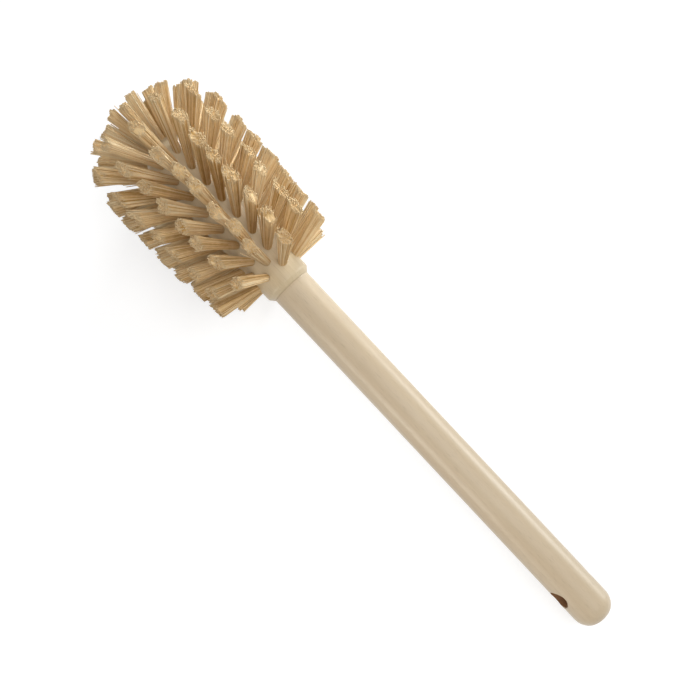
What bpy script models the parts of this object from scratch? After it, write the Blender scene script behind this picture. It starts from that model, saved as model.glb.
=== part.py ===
"""Bottle brush: a turned wooden handle in a drilled head block that is set with tufts of plant fibre.

Metres, +Z up. Every piece is drawn about the brush's own axis, upright with the nose on top and the
collar's mouth at height zero. The whole brush is then laid down, so that it rests on its lowest tufts
and on the end of its handle, with the handle towards +X.
"""
from math import atan2, cos, degrees, floor, hypot, pi, radians, sin, sqrt

import bmesh
import bpy
from mathutils import Matrix, Vector

# Handle
HANDLE_DIAMETER = 0.023
HANDLE_LENGTH = 0.245
HANDLE_END_FLAT_DIAMETER = 0.0090
HANDLE_END_ROUND_LENGTH = 0.009

# Tenon on the handle's top, which is glued into the head block
TENON_SHOULDER = 0.0035
TENON_LENGTH = 0.028
TENON_CHAMFER = 0.0012
GLUE_GAP = 0.0003

# Hanging hole, drilled right across the handle, its mouths eased
HANG_HOLE_DIAMETER = 0.0112
HANG_HOLE_FROM_END = 0.0231
HANG_HOLE_SINK_WIDTH = 0.0006
HANG_HOLE_SINK_DEPTH = 0.0008
HANG_HOLE_TURN_DEG = -81.0
CUT_OVERRUN = 0.002

# Head block: a plain collar, a drilled barrel and a domed nose
HEAD_LENGTH = 0.1061
COLLAR_STEP = 0.0025
COLLAR_LENGTH = 0.0084
COLLAR_LIP_WIDTH = 0.0023
COLLAR_LIP_HEIGHT = 0.0026
COLLAR_LIP_EASE = 0.0004
NOSE_ROUND_LENGTH = 0.0095

# The drilled skin of the block is cut into one slice for each ring of tufts
SKIN_DEPTH = 0.003
SEAM_GAP = 0.0003

# Tuft pattern: rings along the barrel, each turned half a step from the last, then rings on the nose
TUFTS_PER_RING = 7
TUFT_HOLE_DIAMETER = 0.0042
TUFT_HOLE_WEB = 0.0016
LEAN_AT_COLLAR_DEG = 12.2
LEAN_AT_NOSE_DEG = 28.0
LEAN_RISE_EXPONENT = 0.7
FRONT_RINGS = 3
FRONT_EXTRA_LEAN_DEG = 14.0
NOSE_RING_RADIUS_SHARES = (0.84, 0.50)
NOSE_FAN_SHARE = 0.9

# One tuft: two by two strands that fill the hole and spread to the tuft's trimmed end
TUFT_TIP_WIDTH = 0.0066
TUFT_TIP_LENGTH = 0.0086
STRAND_GAP = 0.0004
STRAND_SIDES = 3
STRAND_EMBED_SHARE = 0.3

# Trimmed outline that all tuft ends lie on: it swells from the collar to a shoulder, then a domed front
TRIM_DIAMETER_AT_COLLAR = 0.0773
TRIM_DIAMETER_AT_SHOULDER = 0.0880
TRIM_DOME_LENGTH = 0.036
NOSE_TUFT_LENGTH = 0.0289

# Facets and repeats
HANDLE_SIDES = 40
HANG_HOLE_SIDES = 32
COLLAR_SIDES = 56
BARREL_SIDES = 4 * TUFTS_PER_RING
CORE_BORE_SIDES = 2 * TUFTS_PER_RING
HANDLE_END_STEPS = 8
LIP_STEPS = 3
NOSE_STEPS = 5
TRIM_HALVINGS = 30
MERGE_DISTANCE = 0.00001
REST_PASSES = 8
SMOOTH_ANGLE_DEG = 35.0

# Colours, linear
HANDLE_COLOUR = (0.60, 0.46, 0.32, 1.0)
BLOCK_COLOUR = (0.55, 0.40, 0.28, 1.0)
FIBRE_COLOUR = (0.50, 0.34, 0.18, 1.0)

# Derived sizes
HANDLE_RADIUS = HANDLE_DIAMETER / 2
TENON_RADIUS = HANDLE_RADIUS - TENON_SHOULDER
HEAD_RADIUS = HANDLE_RADIUS + COLLAR_STEP
CORE_RADIUS = HEAD_RADIUS - SKIN_DEPTH
NOSE_START = HEAD_LENGTH - NOSE_ROUND_LENGTH
BARREL_LENGTH = NOSE_START - COLLAR_LENGTH
RING_COUNT = floor(BARREL_LENGTH / (TUFT_HOLE_DIAMETER + TUFT_HOLE_WEB))
RING_PITCH = BARREL_LENGTH / RING_COUNT
TUFT_STEP = 2 * pi / TUFTS_PER_RING
STRAND_EMBED = STRAND_EMBED_SHARE * SKIN_DEPTH
STRAND_ROOT_RADIUS = (TUFT_HOLE_DIAMETER - STRAND_GAP) / 4
STRAND_TIP_RADIUS = (TUFT_TIP_WIDTH - STRAND_GAP) / 4
TRIM_FRONT = HEAD_LENGTH + NOSE_TUFT_LENGTH
TRIM_SHOULDER = TRIM_FRONT - TRIM_DOME_LENGTH
TRIM_SWELL = TRIM_DIAMETER_AT_SHOULDER - TRIM_DIAMETER_AT_COLLAR
UP = Vector((0, 0, 1))


def clear_scene():
    for item in list(bpy.data.objects):
        bpy.data.objects.remove(item, do_unlink=True)


def new_collection(name):
    collection = bpy.data.collections.new(name)
    bpy.context.scene.collection.children.link(collection)
    return collection


def principled(name, colour, roughness):
    material = bpy.data.materials.new(name)
    material.use_nodes = True
    shader = material.node_tree.nodes["Principled BSDF"]
    shader.inputs["Base Color"].default_value = colour
    shader.inputs["Roughness"].default_value = roughness
    shader.inputs["Metallic"].default_value = 0.0
    return material


def add_object(name, mesh, collection, material=None):
    item = bpy.data.objects.new(name, mesh)
    collection.objects.link(item)
    if material:
        mesh.materials.append(material)
    return item


def as_cutter(item):
    item.hide_render = True
    item.display_type = "WIRE"
    return item


def elliptical_arc(centre, radii, start_deg, end_deg, steps):
    """Points (radius, height) along an arc, both ends included."""
    turns = [radians(start_deg + (end_deg - start_deg) * step / steps) for step in range(steps + 1)]
    return [(centre[0] + radii[0] * cos(turn), centre[1] + radii[1] * sin(turn)) for turn in turns]


def turned(name, profile, sides, collection, material=None):
    """A solid turned about its own Z axis, from a profile that runs down its outer side."""
    mesh = bpy.data.meshes.new(name)
    points = [(radius, 0, height) for radius, height in profile]
    mesh.from_pydata(points, [(index, index + 1) for index in range(len(points) - 1)], [])
    item = add_object(name, mesh, collection, material)
    screw = item.modifiers.new("turn", "SCREW")
    screw.steps = sides
    screw.render_steps = sides
    screw.use_merge_vertices = True
    screw.merge_threshold = MERGE_DISTANCE
    return item


def round_bar(name, radius, bottom, top, sides, collection, material=None):
    """A cylinder on the Z axis."""
    bar = bmesh.new()
    place = Matrix.Translation(UP * (bottom + top) / 2)
    bmesh.ops.create_cone(
        bar, cap_ends=True, segments=sides, radius1=radius, radius2=radius, depth=top - bottom, matrix=place)
    mesh = bpy.data.meshes.new(name)
    bar.to_mesh(mesh)
    bar.free()
    return add_object(name, mesh, collection, material)


def combine(item, other, operation):
    boolean = item.modifiers.new(operation.lower(), "BOOLEAN")
    boolean.operation = operation
    boolean.solver = "EXACT"
    boolean.object = other


def hang_hole_cutter(cutters):
    """The drill of the hanging hole, along X before it is turned to its place."""
    bore = HANG_HOLE_DIAMETER / 2
    reach = HANDLE_RADIUS + CUT_OVERRUN
    flare = bore + HANG_HOLE_SINK_WIDTH * (1 + CUT_OVERRUN / HANG_HOLE_SINK_DEPTH)
    half = [(0, reach), (flare, reach), (bore, HANDLE_RADIUS - HANG_HOLE_SINK_DEPTH)]
    other_half = [(radius, -height) for radius, height in reversed(half)]
    cutter = as_cutter(turned("hang_hole_cutter", half + other_half, HANG_HOLE_SIDES, cutters))
    cutter.location = UP * (HANG_HOLE_FROM_END - HANDLE_LENGTH)
    cutter.rotation_euler = (0, pi / 2, radians(HANG_HOLE_TURN_DEG))
    return cutter


def handle(parts, cutters, wood):
    """A straight round handle, with a tenon on top and a softly rounded free end."""
    flat_radius = HANDLE_END_FLAT_DIAMETER / 2
    round_centre = (flat_radius, HANDLE_END_ROUND_LENGTH - HANDLE_LENGTH)
    round_radii = (HANDLE_RADIUS - flat_radius, HANDLE_END_ROUND_LENGTH)
    profile = [
        (0, TENON_LENGTH),
        (TENON_RADIUS - TENON_CHAMFER, TENON_LENGTH),
        (TENON_RADIUS, TENON_LENGTH - TENON_CHAMFER),
        (TENON_RADIUS, -GLUE_GAP),
        (HANDLE_RADIUS, -GLUE_GAP),
    ]
    profile += elliptical_arc(round_centre, round_radii, 0, -90, HANDLE_END_STEPS)
    profile += [(0, -HANDLE_LENGTH)]
    item = turned("handle", profile, HANDLE_SIDES, parts, wood)
    combine(item, hang_hole_cutter(cutters), "DIFFERENCE")
    return item


def head_block(parts, wood):
    """The collar with its sloping lip and its socket, and the core inside the drilled skin."""
    socket_radius = TENON_RADIUS + GLUE_GAP
    socket_depth = TENON_LENGTH + GLUE_GAP
    ease_centre = (HEAD_RADIUS - COLLAR_LIP_EASE, COLLAR_LIP_HEIGHT + COLLAR_LIP_EASE)
    slope_deg = degrees(atan2(COLLAR_LIP_WIDTH, COLLAR_LIP_HEIGHT))
    profile = [
        (0, NOSE_START - SEAM_GAP / 2),
        (CORE_RADIUS, NOSE_START - SEAM_GAP / 2),
        (CORE_RADIUS, COLLAR_LENGTH - SEAM_GAP / 2),
        (HEAD_RADIUS, COLLAR_LENGTH - SEAM_GAP / 2),
    ]
    profile += elliptical_arc(ease_centre, (COLLAR_LIP_EASE, COLLAR_LIP_EASE), 0, -slope_deg, LIP_STEPS)
    profile += [(HEAD_RADIUS - COLLAR_LIP_WIDTH, 0), (socket_radius, 0)]
    profile += [(socket_radius, socket_depth), (0, socket_depth)]
    return turned("head_block", profile, COLLAR_SIDES, parts, wood)


def core_bore_cutter(cutters):
    """The bore of the drilled skin: its flats clear the round core."""
    radius = (CORE_RADIUS + SEAM_GAP) / cos(pi / CORE_BORE_SIDES)
    bottom = COLLAR_LENGTH - CUT_OVERRUN
    top = NOSE_START + CUT_OVERRUN
    return as_cutter(round_bar("core_bore_cutter", radius, bottom, top, CORE_BORE_SIDES, cutters))


def is_trimmed_off(point):
    """True where a point lies outside the trimmed outline."""
    radius = hypot(point.x, point.y)
    if point.z < TRIM_SHOULDER:
        to_shoulder = 1 - point.z / TRIM_SHOULDER
        return radius > (TRIM_DIAMETER_AT_SHOULDER - TRIM_SWELL * to_shoulder ** 2) / 2
    across_share = 2 * radius / TRIM_DIAMETER_AT_SHOULDER
    return hypot(across_share, (point.z - TRIM_SHOULDER) / TRIM_DOME_LENGTH) > 1


def trimmed_length(start, direction):
    """How far a fibre runs from a point near the block until it meets the trimmed outline."""
    kept = 0
    cut_off = TRIM_DIAMETER_AT_SHOULDER + TRIM_FRONT
    for _ in range(TRIM_HALVINGS):
        middle = (kept + cut_off) / 2
        if is_trimmed_off(start + direction * middle):
            cut_off = middle
        else:
            kept = middle
    return kept


def add_strand(strands, root, tip, roll):
    """One strand that widens from its root to its free end, which is trimmed to the outline."""
    direction = (tip - root).normalized()
    start = root - direction * STRAND_EMBED
    upright = direction.to_track_quat("Z", "Y").to_matrix().to_4x4()
    place = Matrix.Translation((start + tip) / 2) @ upright @ Matrix.Rotation(roll, 4, "Z")
    cone = bmesh.ops.create_cone(
        strands, cap_ends=True, segments=STRAND_SIDES, radius1=STRAND_ROOT_RADIUS,
        radius2=STRAND_TIP_RADIUS, depth=(tip - start).length, matrix=place)
    corners = cone["verts"]
    free_end = [vert for vert in corners if (vert.co - tip).length < (vert.co - start).length]
    for vert in free_end:
        neighbours = [edge.other_vert(vert) for edge in vert.link_edges]
        foot = next(neighbour for neighbour in neighbours if neighbour not in free_end)
        side = (vert.co - foot.co).normalized()
        vert.co = foot.co + side * trimmed_length(foot.co, side)


def add_tuft(strands, turn, foot_radius, foot_height, surface_fan, tuft_fan):
    """A tuft at a turn about the axis. Its fan, and the fan of the wood's square, are angles from the axis."""
    outward = Vector((cos(turn), sin(turn), 0))
    across = UP.cross(outward)
    slope = UP * sin(surface_fan) - outward * cos(surface_fan)
    aim = outward * sin(tuft_fan) + UP * cos(tuft_fan)
    along = UP * sin(tuft_fan) - outward * cos(tuft_fan)
    foot = outward * foot_radius + UP * foot_height
    end = foot + aim * trimmed_length(foot, aim)
    root_reach = TUFT_HOLE_DIAMETER / 2 - STRAND_ROOT_RADIUS
    root_reach_along = root_reach / cos(surface_fan - tuft_fan)
    tip_reach_across = TUFT_TIP_WIDTH / 2 - STRAND_TIP_RADIUS
    tip_reach_along = TUFT_TIP_LENGTH / 2 - STRAND_TIP_RADIUS
    for side in (-1, 1):
        for row in (-1, 1):
            root = foot + across * side * root_reach + slope * row * root_reach_along
            tip = end + across * side * tip_reach_across + along * row * tip_reach_along
            add_strand(strands, root, tip, atan2(side, row))


def strands_guide(name, tufts, cutters):
    """The strands of some tufts, which a slice of the block is joined with."""
    strands = bmesh.new()
    for tuft in tufts:
        add_tuft(strands, *tuft)
    mesh = bpy.data.meshes.new(name)
    strands.to_mesh(mesh)
    strands.free()
    return as_cutter(add_object(name, mesh, cutters))


def ring_turns(ring):
    """Turns of a ring's tufts about the axis, half a step on from those of the ring before."""
    first = TUFT_STEP / 4 if ring % 2 == 0 else -TUFT_STEP / 4
    return [first + tuft * TUFT_STEP for tuft in range(TUFTS_PER_RING)]


def barrel_tufts(ring):
    """The tufts of one ring on the barrel, which lean forward more and more towards the nose."""
    height = COLLAR_LENGTH + (ring + 0.5) * RING_PITCH
    rise_share = (ring / RING_COUNT) ** LEAN_RISE_EXPONENT
    front_share = max(0, 1 - (RING_COUNT - 1 - ring) / FRONT_RINGS) ** 2
    lean_deg = LEAN_AT_COLLAR_DEG + (LEAN_AT_NOSE_DEG - LEAN_AT_COLLAR_DEG) * rise_share
    lean_deg += FRONT_EXTRA_LEAN_DEG * front_share
    fan = pi / 2 - radians(lean_deg)
    return [(turn, HEAD_RADIUS, height, pi / 2, fan) for turn in ring_turns(ring)]


def nose_tufts():
    """One tuft on the axis and rings of tufts that stand nearly square to the domed nose."""
    tufts = [(0, 0, HEAD_LENGTH, 0, 0)]
    for step, share in enumerate(NOSE_RING_RADIUS_SHARES):
        rise = sqrt(1 - share ** 2)
        height = NOSE_START + NOSE_ROUND_LENGTH * rise
        fan = atan2(share * NOSE_ROUND_LENGTH, rise * HEAD_RADIUS)
        turns = ring_turns(RING_COUNT + step)
        tufts += [(turn, share * HEAD_RADIUS, height, fan, NOSE_FAN_SHARE * fan) for turn in turns]
    return tufts


def tuft_ring(ring, parts, cutters, bore, fibre):
    """One slice of the drilled skin with the ring of tufts that is set in it."""
    name = f"tuft_ring_{ring + 1:02d}"
    bottom = COLLAR_LENGTH + ring * RING_PITCH + SEAM_GAP / 2
    top = bottom + RING_PITCH - SEAM_GAP
    item = round_bar(name, HEAD_RADIUS, bottom, top, BARREL_SIDES, parts, fibre)
    combine(item, bore, "DIFFERENCE")
    combine(item, strands_guide(name + "_strands", barrel_tufts(ring), cutters), "UNION")
    return item


def tuft_nose(parts, cutters, fibre):
    """The domed nose of the block with the tufts that are set in it."""
    profile = elliptical_arc((0, NOSE_START), (HEAD_RADIUS, NOSE_ROUND_LENGTH), 90, 0, NOSE_STEPS)
    profile[0] = (0, HEAD_LENGTH)
    profile[-1] = (HEAD_RADIUS, NOSE_START + SEAM_GAP / 2)
    profile += [(0, NOSE_START + SEAM_GAP / 2)]
    item = turned("tuft_nose", profile, BARREL_SIDES, parts, fibre)
    combine(item, strands_guide("tuft_nose_strands", nose_tufts(), cutters), "UNION")
    return item


def finish(item):
    """Make the piece one plain mesh, shaded smooth but for its real edges."""
    depsgraph = bpy.context.evaluated_depsgraph_get()
    mesh = bpy.data.meshes.new_from_object(item.evaluated_get(depsgraph))
    mesh.name = item.name
    mesh.shade_smooth()
    mesh.set_sharp_from_angle(angle=radians(SMOOTH_ANGLE_DEG))
    item.modifiers.clear()
    item.data = mesh


def placed_corners(items, placing):
    return [placing @ vert.co for item in items for vert in item.data.vertices]


def lay_down(root, handle_piece, head_pieces):
    """Tip the brush about Y until handle and tufts both touch the floor, centred over the origin in X."""
    tip_angle = -pi / 2
    for _ in range(REST_PASSES):
        placing = Matrix.Rotation(tip_angle, 4, "Y")
        handle_foot = min(placed_corners([handle_piece], placing), key=lambda corner: corner.z)
        head_foot = min(placed_corners(head_pieces, placing), key=lambda corner: corner.z)
        tip_angle += atan2(handle_foot.z - head_foot.z, handle_foot.x - head_foot.x)
    across = [corner.x for corner in placed_corners([handle_piece] + head_pieces, placing)]
    root.rotation_euler = (0, tip_angle, 0)
    root.location = (-(min(across) + max(across)) / 2, 0, -head_foot.z)


def main():
    clear_scene()
    parts = new_collection("bottle_brush")
    cutters = new_collection("bottle_brush_cutters")
    handle_piece = handle(parts, cutters, principled("handle_wood", HANDLE_COLOUR, 0.55))
    block = head_block(parts, principled("block_wood", BLOCK_COLOUR, 0.60))
    bore = core_bore_cutter(cutters)
    tufted = []
    for ring in range(RING_COUNT):
        fibre = principled(f"fibre_{ring + 1:02d}", FIBRE_COLOUR, 0.80)
        tufted.append(tuft_ring(ring, parts, cutters, bore, fibre))
    tufted.append(tuft_nose(parts, cutters, principled("fibre_nose", FIBRE_COLOUR, 0.80)))
    pieces = [handle_piece, block] + tufted
    for item in pieces:
        finish(item)
    root = bpy.data.objects.new("brush_axis", None)
    parts.objects.link(root)
    lay_down(root, handle_piece, tufted)
    for item in pieces + list(cutters.objects):
        item.parent = root


main()
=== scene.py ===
# %% [markdown]
# # A wooden bottle brush
# The real brush is a turned handle glued into a drilled block of wood, and 120 tufts of plant fibre are
# set in the block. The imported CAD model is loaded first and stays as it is: it says where each piece
# goes. The script then builds the pieces that show, each about the brush's own upright axis, where they
# are easy to turn and drill, and lays them down on the CAD at the end of their making.

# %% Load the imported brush
from math import atan2, cos, hypot, pi, radians, sin, sqrt, tau
from random import Random

import bmesh
import bpy
from mathutils import Matrix, Vector


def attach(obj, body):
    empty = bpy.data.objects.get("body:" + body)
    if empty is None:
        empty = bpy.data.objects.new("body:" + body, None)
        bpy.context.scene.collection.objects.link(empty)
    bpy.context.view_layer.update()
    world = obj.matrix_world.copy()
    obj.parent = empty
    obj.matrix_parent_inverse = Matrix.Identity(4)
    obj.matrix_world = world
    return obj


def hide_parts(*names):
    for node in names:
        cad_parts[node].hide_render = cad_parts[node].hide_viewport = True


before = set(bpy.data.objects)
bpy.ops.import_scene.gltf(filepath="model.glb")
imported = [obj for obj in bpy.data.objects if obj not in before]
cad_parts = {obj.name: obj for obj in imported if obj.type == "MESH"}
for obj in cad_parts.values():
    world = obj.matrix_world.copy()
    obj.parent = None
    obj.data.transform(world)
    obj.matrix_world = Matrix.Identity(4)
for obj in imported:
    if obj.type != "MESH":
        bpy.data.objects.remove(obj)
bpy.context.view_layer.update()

scene = bpy.context.scene
scene.view_settings.view_transform = "Standard"

# %% [markdown]
# ## The brush's own axis
# In the CAD the brush lies on its lowest tufts and on the end of its handle, so its axis is tipped a
# little. Every piece below is drawn upright, with the nose of the brush on top and the collar's mouth at
# height zero, and this one matrix lays it down. Materials use the same place and turn backwards, so that
# the grain of the wood runs along the handle and not across the room.

# %% Where the brush lies
UP = Vector((0, 0, 1))
BRUSH_PLACE = Vector((-0.0547848, 0, 0.0378335))
BRUSH_TURN = -1.45894003
laid_down = Matrix.Translation(BRUSH_PLACE) @ Matrix.Rotation(BRUSH_TURN, 4, "Y")
towards_nose = (laid_down.to_3x3() @ UP).normalized()
print("the nose points to", [round(v, 4) for v in towards_nose])

# %% [markdown]
# ## The camera
# The photograph looks almost straight down on the brush, which lies from corner to corner of the frame.
# The camera's place is worked out from the brush itself: a point on its axis in the middle of the
# picture, a direction to look from, and the turn of the axis in the frame. The distance comes from how
# much the collar's round edge bulges, because that shows how strong the perspective is.

# %% Camera
VIEW_ROLL = radians(9.95)
VIEW_TILT = radians(0.6)
VIEW_DISTANCE = 0.490
VIEW_CENTRE_HEIGHT = -0.0470
VIEW_CENTRE_SHIFT = 0.0004
AXIS_IN_FRAME = Vector((0.684, 0.7295)).normalized()
LENS_MM = 46.4

to_handle = -towards_nose
above = (laid_down.to_3x3() @ Vector((1, 0, 0))).normalized()
sideways = Vector((0, -1, 0))
viewer = cos(VIEW_ROLL) * above + sin(VIEW_ROLL) * sideways
low_side = cos(VIEW_ROLL) * sideways - sin(VIEW_ROLL) * above
back = viewer * cos(VIEW_TILT) + to_handle * sin(VIEW_TILT)
along = to_handle * cos(VIEW_TILT) - viewer * sin(VIEW_TILT)
right = AXIS_IN_FRAME.x * along - AXIS_IN_FRAME.y * low_side
upward = -(AXIS_IN_FRAME.y * along + AXIS_IN_FRAME.x * low_side)

aim_point = laid_down @ (UP * VIEW_CENTRE_HEIGHT) + low_side * VIEW_CENTRE_SHIFT
camera = bpy.data.objects.new("camera", bpy.data.cameras.new("camera"))
scene.collection.objects.link(camera)
camera.data.lens = LENS_MM
camera.matrix_world = Matrix((
    (right.x, upward.x, back.x, 0), (right.y, upward.y, back.y, 0),
    (right.z, upward.z, back.z, 0), (0, 0, 0, 1)))
camera.location = aim_point + back * VIEW_DISTANCE
scene.camera = camera
print("camera at", [round(v, 3) for v in camera.location])

# %% [markdown]
# ## Small helpers for materials
# A material is a graph of nodes, and written out in full it takes many lines. A few helpers keep the
# graphs below short to read. One adds a node and gives each of its inputs a value or a link. The others
# are for what every finish needs: a mix of two colours, a stretched range, a sum, noise, a number that
# the mesh carries, and places measured along the brush's own axis.

# %% Material helpers
MIX_AMOUNT, MIX_FIRST, MIX_SECOND = 0, 6, 7
MIX_COLOUR = 2


def new_material(name):
    """An empty node material with its Principled shader."""
    material = bpy.data.materials.new(name)
    material.use_nodes = True
    graph = material.node_tree
    return material, graph, graph.nodes["Principled BSDF"]


def add_node(graph, kind, inputs=None, **values):
    """One node, with its settings and the values or links of its inputs."""
    node = graph.nodes.new(kind)
    for name, value in values.items():
        setattr(node, name, value)
    for name, value in (inputs or {}).items():
        if isinstance(value, bpy.types.NodeSocket):
            graph.links.new(value, node.inputs[name])
        else:
            node.inputs[name].default_value = value
    return node


def tint(graph, amount, first, second):
    """Two colours mixed by an amount."""
    node = add_node(graph, "ShaderNodeMix", {
        MIX_AMOUNT: amount, MIX_FIRST: first, MIX_SECOND: second}, data_type="RGBA")
    return node.outputs[MIX_COLOUR]


def spread(graph, value, low, high, to_low=0.0, to_high=1.0):
    """A value stretched from one range to another, and held inside it."""
    node = add_node(graph, "ShaderNodeMapRange", {
        "Value": value, "From Min": low, "From Max": high, "To Min": to_low, "To Max": to_high})
    return node.outputs["Result"]


def maths(graph, operation, *values):
    """The result of one sum."""
    return add_node(graph, "ShaderNodeMath", dict(enumerate(values)), operation=operation).outputs[0]


def noise(graph, vector, scale, detail):
    """Soft noise, from 0 to 1 around a half."""
    node = add_node(graph, "ShaderNodeTexNoise", {"Vector": vector, "Scale": scale, "Detail": detail})
    return node.outputs["Fac"]


def attribute(graph, name):
    """A number that the mesh carries."""
    return add_node(graph, "ShaderNodeAttribute", attribute_name=name).outputs["Fac"]


def brush_coordinates(graph, stretch, shift=(0, 0, 0)):
    """Places measured upright along the brush's own axis, then stretched for a grain."""
    place = add_node(graph, "ShaderNodeTexCoord").outputs["Object"]
    upright = add_node(graph, "ShaderNodeMapping", {
        "Vector": place, "Location": BRUSH_PLACE, "Rotation": (0, BRUSH_TURN, 0)}, vector_type="TEXTURE")
    drawn = add_node(graph, "ShaderNodeMapping", {
        "Vector": upright.outputs["Vector"], "Location": shift, "Scale": stretch})
    return drawn.outputs["Vector"]


def darker(colour, share):
    """A colour with only a share of its light."""
    return tuple(share * part for part in colour[:3]) + (1,)


print("material helpers ready")

# %% [markdown]
# ## The floor
# The photograph is a product picture on white. A white floor could be made with more light, but that
# would bleach the pale wood too. So the floor is a plain pale plane, and what sees it straight on, off
# gloss or through glass sees a little glow as well. It shows as white, its soft shadow stays, and the
# brush gets no light from that glow.

# %% Floor
FLOOR_SIZE = 3.0
FLOOR_PAINT = (0.50, 0.50, 0.50, 1.0)
FLOOR_GLOW = 0.66
FLOOR_ROUGHNESS = 0.9
WHITE = (1, 1, 1, 1)


def sight_rays(graph):
    """One for the rays that show the surroundings, and zero for the rays that only light things."""
    rays = add_node(graph, "ShaderNodeLightPath").outputs
    straight = maths(graph, "MAXIMUM", rays["Is Camera Ray"], rays["Is Glossy Ray"])
    return maths(graph, "MAXIMUM", straight, rays["Is Transmission Ray"])


plane = bmesh.new()
bmesh.ops.create_grid(plane, x_segments=1, y_segments=1, size=FLOOR_SIZE / 2)
floor_mesh = bpy.data.meshes.new("floor")
plane.to_mesh(floor_mesh)
plane.free()
floor = bpy.data.objects.new("floor", floor_mesh)
scene.collection.objects.link(floor)

floor_paint, graph, shader = new_material("floor_paint")
glow = maths(graph, "MULTIPLY", sight_rays(graph), FLOOR_GLOW)
graph.links.new(glow, shader.inputs["Emission Strength"])
shader.inputs["Emission Color"].default_value = WHITE
shader.inputs["Base Color"].default_value = FLOOR_PAINT
shader.inputs["Roughness"].default_value = FLOOR_ROUGHNESS
shader.inputs["Specular IOR Level"].default_value = 0.0
floor_mesh.materials.append(floor_paint)
print(f"floor: {FLOOR_SIZE} m square")

# %% [markdown]
# ## Lamps and air
# The light comes softly from the upper right of the frame, which is the brush's +Y side, and the lower
# left side of the head falls into warm brown. A low window gives the bright upper edge of the handle,
# and a wide ceiling fills the middle. Two small cards with a narrow beam help: one for the head, and
# one for the handle's shaded side. One big lamp could do it all, but then the handle's two edges would
# be equally bright. The air around is white to look at, and gives the brush a soft even light.

# %% Lamps and air
AIR_STRENGTH = 0.45
DAYLIGHT = (0.92, 0.97, 1.0)
PLAIN = (1.0, 1.0, 1.0)
WARM = (1.0, 0.95, 0.89)
WIDE_BEAM, HEAD_BEAM, HANDLE_BEAM = 180, 34, 50


def soft_lamp(name, place, target, size, power, colour, beam_deg):
    """A square area lamp that looks at a point."""
    lamp = bpy.data.objects.new(name, bpy.data.lights.new(name, "AREA"))
    lamp.data.size = size
    lamp.data.energy = power
    lamp.data.color = colour
    lamp.data.spread = radians(beam_deg)
    lamp.location = place
    lamp.rotation_euler = (Vector(target) - Vector(place)).to_track_quat("-Z", "Y").to_euler()
    scene.collection.objects.link(lamp)


soft_lamp("window", (0.35, 1.30, 0.20), (0.05, 0, 0.03), 0.60, 9.5, DAYLIGHT, WIDE_BEAM)
soft_lamp("ceiling", (0.35, 0.10, 1.15), (0, 0, 0.03), 1.0, 5.0, PLAIN, WIDE_BEAM)
soft_lamp("head_card", (-0.40, 0.70, 0.22), (-0.14, 0, 0.04), 0.25, 0.20, DAYLIGHT, HEAD_BEAM)
soft_lamp("handle_card", (0.15, -0.65, 0.20), (0.09, 0, 0.015), 0.30, 0.120, WARM, HANDLE_BEAM)

air = bpy.data.worlds.new("air")
scene.world = air
air.use_nodes = True
graph = air.node_tree
strength = spread(graph, sight_rays(graph), 0.0, 1.0, AIR_STRENGTH, 1.0)
background = graph.nodes["Background"]
background.inputs["Color"].default_value = WHITE
graph.links.new(strength, background.inputs["Strength"])

# %% [markdown]
# ## The finish of the turned wood
# The handle and the block are pale, fine-grained hardwood, sanded smooth under a thin satin coat. Up
# close such wood shows four things: broad growth rings, soft clouds of deeper colour, short darker
# flecks that all lie along the grain, and a hair-fine grain that the light just catches. A picture of
# wood could be wrapped around, but it would show a seam. Here each is one wave or noise in the brush's
# own coordinates, stretched along the axis. Each mesh marks its bored faces with an attribute that the
# material reads, and paints them dark brown: partly a browner cut, and partly painted shade for the
# dark inside of the holes.

# %% Wood material
RINGS_STRETCH, CLOUDS_STRETCH = (1, 1, 0.04), (1, 1, 0.18)
FLECKS_STRETCH, HAIRS_STRETCH = (1, 1, 0.09), (1, 1, 0.02)
RINGS = {"Scale": 105.0, "Distortion": 2.6, "Detail": 2.0, "Detail Scale": 0.35, "Detail Roughness": 0.5}
CLOUDS, FLECKS, HAIRS = (75.0, 2.0), (1900.0, 1.0), (5200.0, 2.0)
RING_SHARE, CLOUD_SHARE, FLECK_SHARE, HAIR_SHARE = 0.42, 0.75, 0.30, 0.16
FLECK_SHADE, HAIR_SHADE = 0.62, 0.70
WOOD_ROUGHNESS = (0.40, 0.50)
WOOD_GLOSS = 0.50
COAT_WEIGHT, COAT_ROUGHNESS = 0.45, 0.30
GRAIN_RELIEF = {"Strength": 0.22, "Distance": 0.0002}


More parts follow.
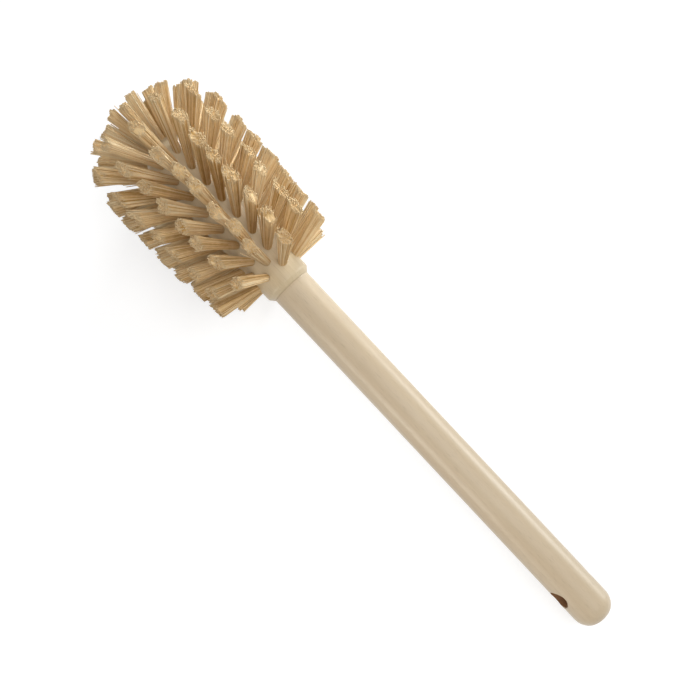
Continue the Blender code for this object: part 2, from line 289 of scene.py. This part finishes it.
def turned_wood(name, pale, deep, bored, pith):
    """Pale hardwood whose growth rings are centred on a pith beside the piece."""
    material, graph, shader = new_material(name)
    rings = add_node(graph, "ShaderNodeTexWave", {
        "Vector": brush_coordinates(graph, RINGS_STRETCH, shift=pith), **RINGS},
        wave_type="RINGS", rings_direction="Z", wave_profile="SAW")
    clouds = noise(graph, brush_coordinates(graph, CLOUDS_STRETCH), *CLOUDS)
    flecks = noise(graph, brush_coordinates(graph, FLECKS_STRETCH), *FLECKS)
    hairs = noise(graph, brush_coordinates(graph, HAIRS_STRETCH), *HAIRS)
    fleck_share = spread(graph, flecks, 0.60, 0.72, 0.0, FLECK_SHARE)
    colour = tint(graph, spread(graph, clouds, 0.32, 0.68, 0.0, CLOUD_SHARE), pale, deep)
    colour = tint(graph, spread(graph, rings.outputs["Fac"], 0.0, 1.0, 0.0, RING_SHARE), colour, deep)
    colour = tint(graph, fleck_share, colour, darker(deep, FLECK_SHADE))
    hair_share = spread(graph, hairs, 0.25, 0.75, 0.0, HAIR_SHARE)
    colour = tint(graph, hair_share, colour, darker(deep, HAIR_SHADE))
    # Painted shade: bored faces take a dark brown, partly the cut and partly the shade inside the holes.
    colour = tint(graph, attribute(graph, "bored"), colour, bored)
    graph.links.new(colour, shader.inputs["Base Color"])
    graph.links.new(spread(graph, clouds, 0.3, 0.7, *WOOD_ROUGHNESS), shader.inputs["Roughness"])
    shader.inputs["Specular IOR Level"].default_value = WOOD_GLOSS
    shader.inputs["Coat Weight"].default_value = COAT_WEIGHT
    shader.inputs["Coat Roughness"].default_value = COAT_ROUGHNESS
    dents = maths(graph, "SUBTRACT", hairs, fleck_share)
    relief = add_node(graph, "ShaderNodeBump", {"Height": dents, **GRAIN_RELIEF})
    graph.links.new(relief.outputs["Normal"], shader.inputs["Normal"])
    return material


HANDLE_PALE = (0.634, 0.512, 0.346, 1.0)
HANDLE_DEEP = (0.551, 0.422, 0.267, 1.0)
HANDLE_PITH = (0.031, 0.012, 0)
BLOCK_PALE = (0.660, 0.530, 0.338, 1.0)
BLOCK_DEEP = (0.566, 0.435, 0.255, 1.0)
BLOCK_PITH = (-0.018, 0.034, 0)
# Dark brown of the holes: a browner cut together with painted shade.
BORE_BROWN_AND_SHADE = (0.300, 0.150, 0.065, 1.0)

handle_wood = turned_wood("handle_wood", HANDLE_PALE, HANDLE_DEEP, BORE_BROWN_AND_SHADE, HANDLE_PITH)
block_wood = turned_wood("block_wood", BLOCK_PALE, BLOCK_DEEP, BORE_BROWN_AND_SHADE, BLOCK_PITH)
print("woods:", handle_wood.name, block_wood.name)

# %% [markdown]
# ## Turning
# The real handle and block were turned on a lathe. A lathe turns an outline about an axis, and so does
# bmesh's spin. Joined cylinders would be quicker, but would leave no rounded edges. The outline is cut
# into short steps first, because holes come later and leave cleaner edges in small even faces.

# %% Turning helpers
MERGE_DISTANCE = 0.00001
STEP_ROUND_UP = 0.49


def arc(centre, radii, start_deg, end_deg, steps):
    """Points (radius, height) along an elliptical arc, both ends included."""
    turns = [radians(start_deg + (end_deg - start_deg) * step / steps) for step in range(steps + 1)]
    return [(centre[0] + radii[0] * cos(turn), centre[1] + radii[1] * sin(turn)) for turn in turns]


def divided(points, longest):
    """The same outline with no stretch longer than a limit."""
    result = [points[0]]
    for start, end in zip(points, points[1:]):
        length = hypot(end[0] - start[0], end[1] - start[1])
        parts = max(1, round(length / longest + STEP_ROUND_UP))
        for part in range(1, parts + 1):
            result.append(tuple(a + (b - a) * part / parts for a, b in zip(start, end)))
    return result


def turned(profile, sides):
    """A solid turned about the upright axis from an outline that starts and ends on it."""
    work = bmesh.new()
    points = [work.verts.new((radius, 0, height)) for radius, height in profile]
    lines = [work.edges.new(pair) for pair in zip(points, points[1:])]
    bmesh.ops.spin(
        work, geom=points + lines, cent=(0, 0, 0), axis=UP, angle=tau, steps=sides, use_merge=True)
    bmesh.ops.remove_doubles(work, verts=work.verts, dist=MERGE_DISTANCE)
    bmesh.ops.recalc_face_normals(work, faces=work.faces)
    return work


print("turning helpers ready")

# %% [markdown]
# ## Drilling and placing
# A hole could be cut face by face, but where two round shapes meet the edge is a curve that is hard to
# draw. So a drill is a solid of its own, and a Boolean modifier takes it away. The last helper lays a
# finished piece down on the CAD, gives it its finish and hides the CAD node that it stands for.

# %% Drilling and placing helpers
OVERRUN = 0.002


def as_object(work, name):
    """A bmesh made into an object of the scene."""
    mesh = bpy.data.meshes.new(name)
    work.to_mesh(mesh)
    work.free()
    item = bpy.data.objects.new(name, mesh)
    scene.collection.objects.link(item)
    return item


def drilled(work, drills, name):
    """The first solid with the second one taken out of it, as a bmesh again."""
    solid, drill = as_object(work, name), as_object(drills, name + "_drills")
    cut = solid.modifiers.new("drill", "BOOLEAN")
    cut.solver = "EXACT"
    cut.operation = "DIFFERENCE"
    cut.object = drill
    view = solid.evaluated_get(bpy.context.evaluated_depsgraph_get())
    result = bmesh.new()
    result.from_mesh(view.data)
    for item in (solid, drill):
        bpy.data.objects.remove(item, do_unlink=True)
    return result


def placed(work, name, node, material, sharp_deg):
    """Lay a finished piece down, give it its finish, and let it stand for its CAD node."""
    work.transform(laid_down)
    bmesh.ops.recalc_face_normals(work, faces=work.faces)
    item = as_object(work, name)
    item.data.shade_smooth()
    item.data.set_sharp_from_angle(angle=radians(sharp_deg))
    item.data.materials.append(material)
    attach(item, "root")
    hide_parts(node)
    item.data.calc_loop_triangles()
    print(f"{name}: {len(item.data.loop_triangles)} triangles")


print("a drill runs", OVERRUN, "m past the wood")

# %% [markdown]
# ## The handle
# The real handle is a plain rod, turned and sanded, with a softly rounded end and one large hole bored
# across it to hang it by. It is spun from one outline. The edges of the hole are worn round. A bevel
# could do that, but it stumbles where the hole meets the round rod, so the rounding is a part of the
# drill's own outline, which flares at both ends. The tenon beyond the shoulder is hidden in the block.

# %% Handle
HANDLE_RADIUS = 0.0115
HANDLE_LENGTH = 0.245
END_FLAT_RADIUS = 0.0041
END_ROUND_LENGTH = 0.0091
TENON_RADIUS = 0.008
TENON_LENGTH = 0.028
TENON_EASE = 0.0012
GLUE_GAP = 0.0003
HANG_HOLE_RADIUS = 0.0056
HANG_HOLE_FROM_END = 0.0231
HANG_HOLE_EASE = (0.0006, 0.0008)
HANG_HOLE_MOUTH_DEG = (180, 110)
HANG_HOLE_TURN = radians(-81)
HANG_HOLE_SIDES = 96
BORED_SHARE = 1.002
SHOULDER_GAP = 0.00005
SHOULDER_EASE = 0.0001
HANDLE_SIDES = 128
HANDLE_STEP = 0.002
SHOULDER_STEPS, MOUTH_STEPS, END_STEPS = 3, 6, 20
HANDLE_SHARP_DEG = 40

outline = [(0, TENON_LENGTH), (TENON_RADIUS - TENON_EASE, TENON_LENGTH),
           (TENON_RADIUS, TENON_LENGTH - TENON_EASE), (TENON_RADIUS, -SHOULDER_GAP)]
outline += arc(
    (HANDLE_RADIUS - SHOULDER_EASE, -SHOULDER_GAP - SHOULDER_EASE), (SHOULDER_EASE, SHOULDER_EASE),
    90, 0, SHOULDER_STEPS)
outline += arc(
    (END_FLAT_RADIUS, END_ROUND_LENGTH - HANDLE_LENGTH),
    (HANDLE_RADIUS - END_FLAT_RADIUS, END_ROUND_LENGTH), 0, -90, END_STEPS)
outline += [(0, -HANDLE_LENGTH)]
rod = turned(divided(outline, HANDLE_STEP), HANDLE_SIDES)

ease_width, ease_depth = HANG_HOLE_EASE
mouth = arc(
    (HANG_HOLE_RADIUS + ease_width, HANDLE_RADIUS - ease_depth), (ease_width, ease_depth),
    *HANG_HOLE_MOUTH_DEG, MOUTH_STEPS)
last, before = mouth[-1], mouth[-2]
flare = (last[0] - before[0]) / (last[1] - before[1])
mouth += [(last[0] + flare * OVERRUN, last[1] + OVERRUN), (0, last[1] + OVERRUN)]
mirrored = [(radius, -height) for radius, height in reversed(mouth)]
straight = divided([mirrored[-1], mouth[0]], HANDLE_STEP)[1:-1]
drill = turned(mirrored + straight + mouth, HANG_HOLE_SIDES)
hole_middle = Matrix.Translation(UP * (HANG_HOLE_FROM_END - HANDLE_LENGTH))
across_handle = Matrix.Rotation(HANG_HOLE_TURN, 4, "Z") @ Matrix.Rotation(pi / 2, 4, "Y")
drill.transform(hole_middle @ across_handle)
rod = drilled(rod, drill, "handle")

from_hole = (hole_middle @ across_handle).inverted()
bored = rod.faces.layers.float.new("bored")
for face in rod.faces:
    middle = from_hole @ face.calc_center_median()
    face[bored] = 1.0 if hypot(middle.x, middle.y) < HANG_HOLE_RADIUS * BORED_SHARE else 0.0
placed(rod, "turned_handle", "handle", handle_wood, HANDLE_SHARP_DEG)

# %% [markdown]
# ## The pattern of the tufts
# Fifteen rings of seven tufts climb the barrel, each ring turned by half a step, so that the eye finds
# fourteen straight rows. The tufts lean forward, a little at the collar and most in the last rings. The
# domed nose has one tuft on the axis and two more rings. All 120 places could be typed in, but a few
# sizes give them all. Every tuft is a foot on the wood, an aim, and two directions across it. The whole
# head was trimmed on a machine, so one smooth outline says where every fibre ends.

# %% Tuft pattern
HEAD_RADIUS = 0.014
HEAD_LENGTH = 0.1061
COLLAR_LENGTH = 0.0084
NOSE_ROUND_LENGTH = 0.0095
NOSE_START = HEAD_LENGTH - NOSE_ROUND_LENGTH
TUFTS_PER_RING = 7
RING_COUNT = 15
RING_PITCH = (NOSE_START - COLLAR_LENGTH) / RING_COUNT
TUFT_STEP = tau / TUFTS_PER_RING
LEAN_DEG = (12.2, 28.0)
LEAN_RISE = 0.7
FRONT_RINGS = 3
FRONT_EXTRA_LEAN_DEG = 14.0
NOSE_RING_SHARES = (0.84, 0.50)
NOSE_FAN_SHARE = 0.9
NOSE_FULLNESS = 0.86
TRIM_DIAMETERS = (0.0773, 0.0880)
TRIM_PAST_NOSE = 0.0289
TRIM_FRONT = HEAD_LENGTH + TRIM_PAST_NOSE
TRIM_DOME_LENGTH = 0.036
TRIM_SHOULDER = TRIM_FRONT - TRIM_DOME_LENGTH


def ring_turns(ring):
    """The turns of a ring's tufts about the axis."""
    first = TUFT_STEP / 4 if ring % 2 == 0 else -TUFT_STEP / 4
    return [first + tuft * TUFT_STEP for tuft in range(TUFTS_PER_RING)]


def tuft_at(turn, radius, height, fan, fullness=1.0):
    """A tuft's foot and aim, the two directions across it, and how full its end is."""
    outward = Vector((cos(turn), sin(turn), 0))
    return {
        "foot": outward * radius + UP * height,
        "aim": outward * sin(fan) + UP * cos(fan),
        "around": UP.cross(outward),
        "along": UP * sin(fan) - outward * cos(fan),
        "fullness": fullness,
    }


def barrel_ring(ring):
    """The seven tufts of one ring on the barrel."""
    front_share = max(0, 1 - (RING_COUNT - 1 - ring) / FRONT_RINGS) ** 2
    lean = LEAN_DEG[0] + (LEAN_DEG[1] - LEAN_DEG[0]) * (ring / RING_COUNT) ** LEAN_RISE
    lean += FRONT_EXTRA_LEAN_DEG * front_share
    height = COLLAR_LENGTH + (ring + 0.5) * RING_PITCH
    fan = pi / 2 - radians(lean)
    return [tuft_at(turn, HEAD_RADIUS, height, fan) for turn in ring_turns(ring)]


def nose_rings():
    """The tuft on the axis and the two rings on the dome, nearly square to it."""
    tufts = [tuft_at(0, 0, HEAD_LENGTH, 0, NOSE_FULLNESS)]
    for step, share in enumerate(NOSE_RING_SHARES):
        rise = sqrt(1 - share ** 2)
        fan = atan2(share * NOSE_ROUND_LENGTH, rise * HEAD_RADIUS)
        height = NOSE_START + NOSE_ROUND_LENGTH * rise
        for turn in ring_turns(RING_COUNT + step):
            tufts.append(tuft_at(turn, share * HEAD_RADIUS, height, NOSE_FAN_SHARE * fan, NOSE_FULLNESS))
    return tufts


all_rings = [barrel_ring(ring) for ring in range(RING_COUNT)] + [nose_rings()]
print(f"{sum(len(ring) for ring in all_rings)} tufts in {len(all_rings)} groups")

# %% [markdown]
# ## The drilled block
# In the real brush the collar, the barrel and the nose are one piece of wood, so one mesh stands for
# them all. It is turned like the handle, with a sloping lip at the collar, and then 120 blind holes are
# drilled along the tufts' aims. The tufts could be stuck onto a plain block, but then no rim and no
# shadow would show around their feet. All the drills are taken out together, and the fine steps of the
# outline keep the shading smooth around each hole.

# %% Block
LIP_SLOPE = (0.0023, 0.0026)
LIP_EASE = 0.0005
LIP_BLUNTING = 0.00012
LIP_INSET = 0.00010
TUFT_HOLE_RADIUS = 0.00228
TUFT_HOLE_DEPTH = 0.0042
BLOCK_SIDES = 168
BLOCK_STEP = 0.0011
NOSE_STEPS = 18
DRILL_SIDES = 28
SKIN_TOLERANCE = 0.00008
SKIN_SHARE = 0.99
BLOCK_SHARP_DEG = 32

socket = TENON_RADIUS + GLUE_GAP
slope_width, slope_height = LIP_SLOPE
lip_radius = HEAD_RADIUS - slope_width
outline = arc((0, NOSE_START), (HEAD_RADIUS, NOSE_ROUND_LENGTH), 90, 0, NOSE_STEPS)
outline[0] = (0, HEAD_LENGTH)
outline += [(HEAD_RADIUS, slope_height + LIP_EASE), (HEAD_RADIUS - LIP_BLUNTING, slope_height),
            (lip_radius + LIP_INSET, LIP_BLUNTING), (lip_radius - LIP_BLUNTING, 0),
            (socket, 0), (socket, TENON_LENGTH + GLUE_GAP), (0, TENON_LENGTH + GLUE_GAP)]
block = turned(divided(outline, BLOCK_STEP), BLOCK_SIDES)

drills = bmesh.new()
for tuft in (tuft for ring in all_rings for tuft in ring):
    upright = tuft["aim"].to_track_quat("Z", "Y").to_matrix().to_4x4()
    middle = tuft["foot"] + tuft["aim"] * (OVERRUN - TUFT_HOLE_DEPTH) / 2
    bmesh.ops.create_cone(
        drills, cap_ends=True, segments=DRILL_SIDES, radius1=TUFT_HOLE_RADIUS, radius2=TUFT_HOLE_RADIUS,
        depth=OVERRUN + TUFT_HOLE_DEPTH, matrix=Matrix.Translation(middle) @ upright)
block = drilled(block, drills, "block")

bored = block.faces.layers.float.new("bored")
for face in block.faces:
    middle = face.calc_center_median()
    radius = hypot(middle.x, middle.y)
    outside = radius > HEAD_RADIUS - SKIN_TOLERANCE
    if middle.z > NOSE_START:
        height = (middle.z - NOSE_START) / NOSE_ROUND_LENGTH
        outside = hypot(radius / HEAD_RADIUS, height) > SKIN_SHARE
    face[bored] = 0.0 if outside or middle.z < slope_height + LIP_EASE else 1.0
placed(block, "drilled_block", "head_block", block_wood, BLOCK_SHARP_DEG)

# %% [markdown]
# ## The finish of the fibres
# The tufts are pale plant fibre. No two fibres have the same tone. Towards its root a fibre is painted
# browner, as painted shade for the depth of the tuft where the tufts shade one another, and its cut end
# is duller. A noise in space would give patches, but not one tone to each fibre.
# So each mesh carries two attributes of its own: "tone", one number for each fibre, and "reach", which
# runs from the root to the tip. The colour reads both, and follows the fibres however they bend.

# %% Fibre material
# The root brown is painted shade for the shaded depth of the tufts.
FIBRE_ROOT_SHADE = (0.400, 0.205, 0.052, 1.0)
FIBRE_DEEP = (0.500, 0.285, 0.088, 1.0)
FIBRE_MID = (0.890, 0.658, 0.358, 1.0)
FIBRE_PALE = (0.965, 0.825, 0.570, 1.0)
FIBRE_CUT = (0.715, 0.555, 0.335, 1.0)
PATCHES, SPECKS = (320.0, 2.0), (2600.0, 2.0)
PATCH_WEIGHT = 0.30
SHADE_RANGE = (0.10, 1.15)
SPECK_SHARE, ROOT_SHADE_SHARE, CUT_SHARE = 0.25, 0.34, 0.68
ROOT_SHADE_ENDS = 0.60
CUT_TINT_REACH, CUT_DULL_REACH = (0.93, 0.985), (0.93, 0.99)
FIBRE_ROUGHNESS, CUT_ROUGHNESS = (0.45, 0.60), 0.95
FIBRE_GLOSS = 0.15
FIBRE_RELIEF = {"Strength": 0.25, "Distance": 0.00005}

fibre, graph, shader = new_material("plant_fibre")
tone, reach = attribute(graph, "tone"), attribute(graph, "reach")
place = add_node(graph, "ShaderNodeTexCoord").outputs["Object"]
patches, specks = noise(graph, place, *PATCHES), noise(graph, place, *SPECKS)
shade = spread(graph, maths(graph, "MULTIPLY_ADD", patches, PATCH_WEIGHT, tone), *SHADE_RANGE)
colour = tint(graph, spread(graph, shade, 0.0, 0.5), FIBRE_DEEP, FIBRE_MID)
colour = tint(graph, spread(graph, shade, 0.5, 1.0), colour, FIBRE_PALE)
colour = tint(graph, spread(graph, specks, 0.55, 0.75, 0.0, SPECK_SHARE), colour, FIBRE_DEEP)
# Painted shade: fibres are painted browner towards their roots, where the tufts shade one another.
colour = tint(graph, spread(graph, reach, 0.0, ROOT_SHADE_ENDS, ROOT_SHADE_SHARE, 0.0), colour, FIBRE_ROOT_SHADE)
colour = tint(graph, spread(graph, reach, *CUT_TINT_REACH, 0.0, CUT_SHARE), colour, FIBRE_CUT)
graph.links.new(colour, shader.inputs["Base Color"])
side_dullness = spread(graph, specks, 0.3, 0.7, *FIBRE_ROUGHNESS)
end_dullness = spread(graph, reach, *CUT_DULL_REACH, 0.0, CUT_ROUGHNESS)
graph.links.new(maths(graph, "MAXIMUM", side_dullness, end_dullness), shader.inputs["Roughness"])
shader.inputs["Specular IOR Level"].default_value = FIBRE_GLOSS
relief = add_node(graph, "ShaderNodeBump", {"Height": specks, **FIBRE_RELIEF})
graph.links.new(relief.outputs["Normal"], shader.inputs["Normal"])
print("fibre finish:", fibre.name)

# %% [markdown]
# ## Blanks for one fibre and one core
# A real tuft holds a few hundred fibres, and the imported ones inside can't be told apart. Hair particles
# could draw them all, but the meshes are a result in their own right. So each tuft is one solid core
# under many loose fibres. The blank fibre is a four-sided rod of unit length with three cuts, which is
# enough to show a bend. The blank core is a rounder rod whose end face is poked to a middle point. Both
# are made once. Every fibre and core is a copy, moved onto its own curves.

# %% Blanks
FIBRE_SIDES = 4
CORE_SIDES = 20
BLANK_CUTS = 3


def blank_rod(name, sides):
    """An upright rod of unit length and radius, cut across into short stretches."""
    rod = bmesh.new()
    bmesh.ops.create_cone(
        rod, cap_ends=True, segments=sides, radius1=1, radius2=1, depth=1,
        matrix=Matrix.Translation(UP / 2))
    upright_edges = [edge for edge in rod.edges if abs(edge.verts[0].co.z - edge.verts[1].co.z) > 0.5]
    bmesh.ops.subdivide_edges(rod, edges=upright_edges, cuts=BLANK_CUTS)
    if sides > FIBRE_SIDES:
        bmesh.ops.poke(rod, faces=[face for face in rod.faces if face.normal.z > 0.5])
    for face in rod.faces:
        face.smooth = abs(face.normal.z) < 0.5
    for edge in rod.edges:
        edge.smooth = all(face.smooth for face in edge.link_faces)
    mesh = bpy.data.meshes.new(name)
    rod.to_mesh(mesh)
    rod.free()
    print(f"{name}: {len(mesh.vertices)} points, {len(mesh.polygons)} faces")
    return mesh, [vert.co.copy() for vert in mesh.vertices]


blank_fibre = blank_rod("blank_fibre", FIBRE_SIDES)
blank_core = blank_rod("blank_core", CORE_SIDES)

# %% [markdown]
# ## Trimming
# After the tufts are set, the real head turns past a blade that cuts all the ends to one outline: a
# slightly widening barrel and a domed front. A Boolean could cut thousands of fibres, but slowly. Here
# each fibre runs on until it meets that outline, or the table that the brush lies on. The place is found
# by halving the stretch in doubt again and again.

# %% Trimmed outline
LONGEST_RUN = 0.08
HALVINGS = 18


def is_trimmed_off(point):
    """True outside the trimmed outline, or below the table."""
    height_over_table = point.x * above.z + point.z * towards_nose.z + BRUSH_PLACE.z
    if height_over_table < 0:
        return True
    radius = hypot(point.x, point.y)
    if point.z < TRIM_SHOULDER:
        slimmer = (TRIM_DIAMETERS[1] - TRIM_DIAMETERS[0]) * (1 - point.z / TRIM_SHOULDER) ** 2
        return radius > (TRIM_DIAMETERS[1] - slimmer) / 2
    return hypot(2 * radius / TRIM_DIAMETERS[1], (point.z - TRIM_SHOULDER) / TRIM_DOME_LENGTH) > 1


def trimmed_length(start, direction, longest=LONGEST_RUN):
    """How far a fibre runs from a point until it is trimmed off."""
    kept, cut_off = 0.0, longest
    for _ in range(HALVINGS):
        middle = (kept + cut_off) / 2
        if is_trimmed_off(start + direction * middle):
            cut_off = middle
        else:
            kept = middle
    return kept


print("a fibre on the axis ends at", round(HEAD_LENGTH + trimmed_length(UP * HEAD_LENGTH, UP), 5))

# %% [markdown]
# ## Setting one tuft
# A tuft leaves its hole as a tight round bundle and spreads to an oval end, longer along the brush than
# around it. Straight fibres would make a plain cone, but real ones stay together for a while and then
# spread. So each fibre is a curve with one bend, from a place in the hole to its place in the end, and
# it is trimmed where it meets the outline.

# %% Curves of a tuft
ROOT_DEPTH = 0.0030
ROOT_RADIUS = 0.0020
TIP_WIDTH = 0.0070
TIP_LENGTH = 0.0098
RISE_TO_BEND, SPREAD_AT_BEND = 0.42, 0.38
TRIM_SEARCH = 0.010


def fibre_ends(tuft, end, start, finish, size):
    """Where a fibre starts in the hole and where it would end, for its two places in the bundle."""
    root = tuft["foot"] - tuft["aim"] * ROOT_DEPTH
    root += (tuft["around"] * start[0] + tuft["along"] * start[1]) * ROOT_RADIUS
    tip = end + tuft["around"] * (finish[0] * size[0] / 2) + tuft["along"] * (finish[1] * size[1] / 2)
    return root, tip


def bend_between(tuft, root, tip):
    """The point that pulls a fibre's curve: still near the tuft's aim, well before the spread."""
    rise = tuft["aim"] * (tip - root).dot(tuft["aim"])
    return root + rise * RISE_TO_BEND + (tip - root - rise) * SPREAD_AT_BEND


def on_curve(root, bend, tip, share):
    """A point on the curve of a fibre."""
    return root * (1 - share) ** 2 + bend * 2 * share * (1 - share) + tip * share ** 2


def trimmed(point, bend, short):
    """An end point moved along its last stretch until it lies just inside the trimmed outline."""
    run = (point - bend).normalized()
    start = point - run * TRIM_SEARCH
    return start + run * (trimmed_length(start, run, 2 * TRIM_SEARCH) - short)


print(f"a tuft's end is about {1000 * TIP_WIDTH:.1f} mm wide and {1000 * TIP_LENGTH:.1f} mm long")

# %% [markdown]
# ## Locks
# The fibres of a real tuft cling together in a few locks, which is why its end looks uneven. Moving each
# fibre by chance alone would only blur the end. So a lock draws its fibres in, pushes them a little
# aside, and has its own length and tone.

# %% Locks of a tuft
LOCKS_PER_TUFT = 6
LOCK_GATHER = 0.16
LOCK_SHIFT = 0.075
LOCK_SHORT = 0.0017
LOCK_TONE = 0.11


def new_lock(draw):
    """One lock of a tuft: its place in the end, how far it is pushed aside, its length and tone."""
    turn, share = draw.uniform(0, tau), sqrt(draw.random())
    return {
        "across": share * cos(turn), "down": share * sin(turn),
        "aside": (draw.gauss(0, LOCK_SHIFT), draw.gauss(0, LOCK_SHIFT)),
        "short": draw.uniform(0, LOCK_SHORT), "tone": draw.gauss(0, LOCK_TONE),
    }


def in_lock(locks, across, down):
    """The nearest lock, and a place in the end after the lock has drawn it in and aside."""
    lock = min(locks, key=lambda lock: hypot(lock["across"] - across, lock["down"] - down))
    across += (lock["across"] - across) * LOCK_GATHER + lock["aside"][0]
    down += (lock["down"] - down) * LOCK_GATHER + lock["aside"][1]
    return lock, across, down


print(LOCKS_PER_TUFT, "locks in a tuft")

# %% [markdown]
# ## Cores and loose fibres
# The core fills the bundle to just under its skin, and is striped like the fibres that it stands for. Its
# tone is set a little darker than its tuft's, as painted shade for the inside of the bundle. A loose
# fibre is a little thinner at its root, where the bundle is tight, and it sways on its way. Both are
# copies of the blanks whose points are moved, which is much faster than making each one anew.

# %% Cores and loose fibres
FIBRE_RADIUS = (0.00022, 0.00030)
FIBRE_THICKNESS = (0.75, 1.25)
SWAY = 0.00022
CORE_SHARE = 0.84
CORE_SHORT = 0.0012
CORE_PAINTED_SHADE = 0.12
CORE_STRIPES = 0.20
CORE_REACH = 0.9
AT_END = 0.99


def added_copy(work, blank):
    """The new points of one more blank in a bmesh."""
    mesh, units = blank
    first = len(work.verts)
    work.from_mesh(mesh)
    work.verts.ensure_lookup_table()
    return [(work.verts[first + index], unit) for index, unit in enumerate(units)]


def step_across(tuft, draw, unit, units=1):
    """A step by chance in the two directions across a tuft, mostly within so many units."""
    return (tuft["around"] * draw.gauss(0, units) + tuft["along"] * draw.gauss(0, units)) * unit


def set_core(work, layers, tuft, end, size, locks, draw, tuft_tone):
    """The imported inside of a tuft, just under its skin and its trimmed end."""
    tone, reach = layers
    stripes = [draw.gauss(0, CORE_STRIPES) for _ in range(CORE_SIDES + 1)]
    for vert, unit in added_copy(work, blank_core):
        start = unit.x * CORE_SHARE, unit.y * CORE_SHARE
        lock, across, down = in_lock(locks, *start)
        root, tip = fibre_ends(tuft, end, start, (across, down), size)
        bend = bend_between(tuft, root, tip)
        vert.co = on_curve(root, bend, tip, unit.z)
        if unit.z > AT_END:
            vert.co = trimmed(vert.co, bend, CORE_SHORT + lock["short"])
        stripe = round((atan2(unit.y, unit.x) / tau + 0.5) * CORE_SIDES)
        # Painted shade: the core's tone is set darker than its tuft's, for the shaded inside of the
        # bundle.
        vert[tone] = tuft_tone - CORE_PAINTED_SHADE + stripes[stripe]
        vert[reach] = CORE_REACH * unit.z


def set_fibre(work, layers, tuft, root, tip, draw, fibre_tone, short):
    """One loose fibre from its root to a tip, bent on its way and trimmed at the outline."""
    tone, reach = layers
    bend = bend_between(tuft, root, tip) + step_across(tuft, draw, SWAY)
    thick = draw.uniform(*FIBRE_THICKNESS)
    for vert, unit in added_copy(work, blank_fibre):
        radius = thick * (FIBRE_RADIUS[0] + (FIBRE_RADIUS[1] - FIBRE_RADIUS[0]) * unit.z)
        vert.co = on_curve(root, bend, tip, unit.z)
        vert.co += (tuft["around"] * unit.x + tuft["along"] * unit.y) * radius
        if unit.z > AT_END:
            vert.co = trimmed(vert.co, bend, short)
        vert[tone] = fibre_tone
        vert[reach] = unit.z


print("a fibre is about", round(2000 * FIBRE_RADIUS[1], 2), "mm thick at its tip")

# %% [markdown]
# ## A whole tuft
# The loose fibres start on a sunflower pattern, which fills a circle evenly, and more of them lie in the
# skin, where they show. A few stray fibres stand away, and no two tufts lean quite alike. All the chance
# comes from one seeded source for each ring, so that every run gives the same brush.

# %% Set a tuft
FIBRES_PER_TUFT = 130
SKIN_POWER = 0.42
SCATTER, STRAY_SCATTER, STRAY_CHANCE = 0.00030, 0.0015, 0.04
RAGGED = 0.0011
TILT_DEG = 1.6
TIP_WIDTH_SHARES, TIP_LENGTH_SHARES = (0.88, 1.10), (0.88, 1.12)
TUFT_TONE = (0.51, 0.08)
FIBRE_TONE_SPREAD = 0.19
GOLDEN_TURN = pi * (3 - sqrt(5))


def set_tuft(work, layers, tuft, draw):
    """A whole tuft: a tight bundle at the hole that spreads to its trimmed end."""
    tilt = step_across(tuft, draw, radians(1), TILT_DEG)
    aim = (tuft["aim"] + tilt).normalized()
    end = tuft["foot"] + aim * trimmed_length(tuft["foot"], aim)
    size = (tuft["fullness"] * TIP_WIDTH * draw.uniform(*TIP_WIDTH_SHARES),
            tuft["fullness"] * TIP_LENGTH * draw.uniform(*TIP_LENGTH_SHARES))
    tuft_tone = draw.gauss(*TUFT_TONE)
    locks = [new_lock(draw) for _ in range(LOCKS_PER_TUFT)]
    set_core(work, layers, tuft, end, size, locks, draw, tuft_tone)
    quarter = draw.uniform(0, tau)
    for number in range(FIBRES_PER_TUFT):
        share = ((number + 0.5) / FIBRES_PER_TUFT) ** SKIN_POWER
        turn = quarter + number * GOLDEN_TURN
        start = share * cos(turn), share * sin(turn)
        lock, across, down = in_lock(locks, *start)
        root, tip = fibre_ends(tuft, end, start, (across, down), size)
        scatter = STRAY_SCATTER if draw.random() < STRAY_CHANCE else SCATTER
        tip += step_across(tuft, draw, scatter)
        fibre_tone = tuft_tone + lock["tone"] + draw.gauss(0, FIBRE_TONE_SPREAD)
        short = lock["short"] + draw.uniform(0, RAGGED)
        set_fibre(work, layers, tuft, root, tip, draw, fibre_tone, short)


print(FIBRES_PER_TUFT, "loose fibres in a tuft")

# %% [markdown]
# ## All the tufts
# The CAD has one node for each ring of tufts and one for the nose, so the fibres are gathered in the same
# groups. One object for each fibre would be slow to load, and one for them all could not stand for its
# own node.

# %% Groups of fibres
FIRST_SEED = 101


def fibre_group(tufts, name, node, seed):
    """One piece with all the fibres of some tufts."""
    work = bmesh.new()
    layers = work.verts.layers.float.new("tone"), work.verts.layers.float.new("reach")
    draw = Random(seed)
    for tuft in tufts:
        set_tuft(work, layers, tuft, draw)
    work.transform(laid_down)
    item = as_object(work, name)
    item.data.materials.append(fibre)
    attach(item, "root")
    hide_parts(node)
    return item


groups = []
for index, tufts in enumerate(all_rings):
    part = "nose" if index == RING_COUNT else f"ring_{index + 1:02d}"
    groups.append(fibre_group(tufts, "fibres_" + part, "tuft_" + part, FIRST_SEED + index))
faces = sum(len(item.data.polygons) for item in groups)
print(f"{len(groups)} groups of fibres, {faces} faces")
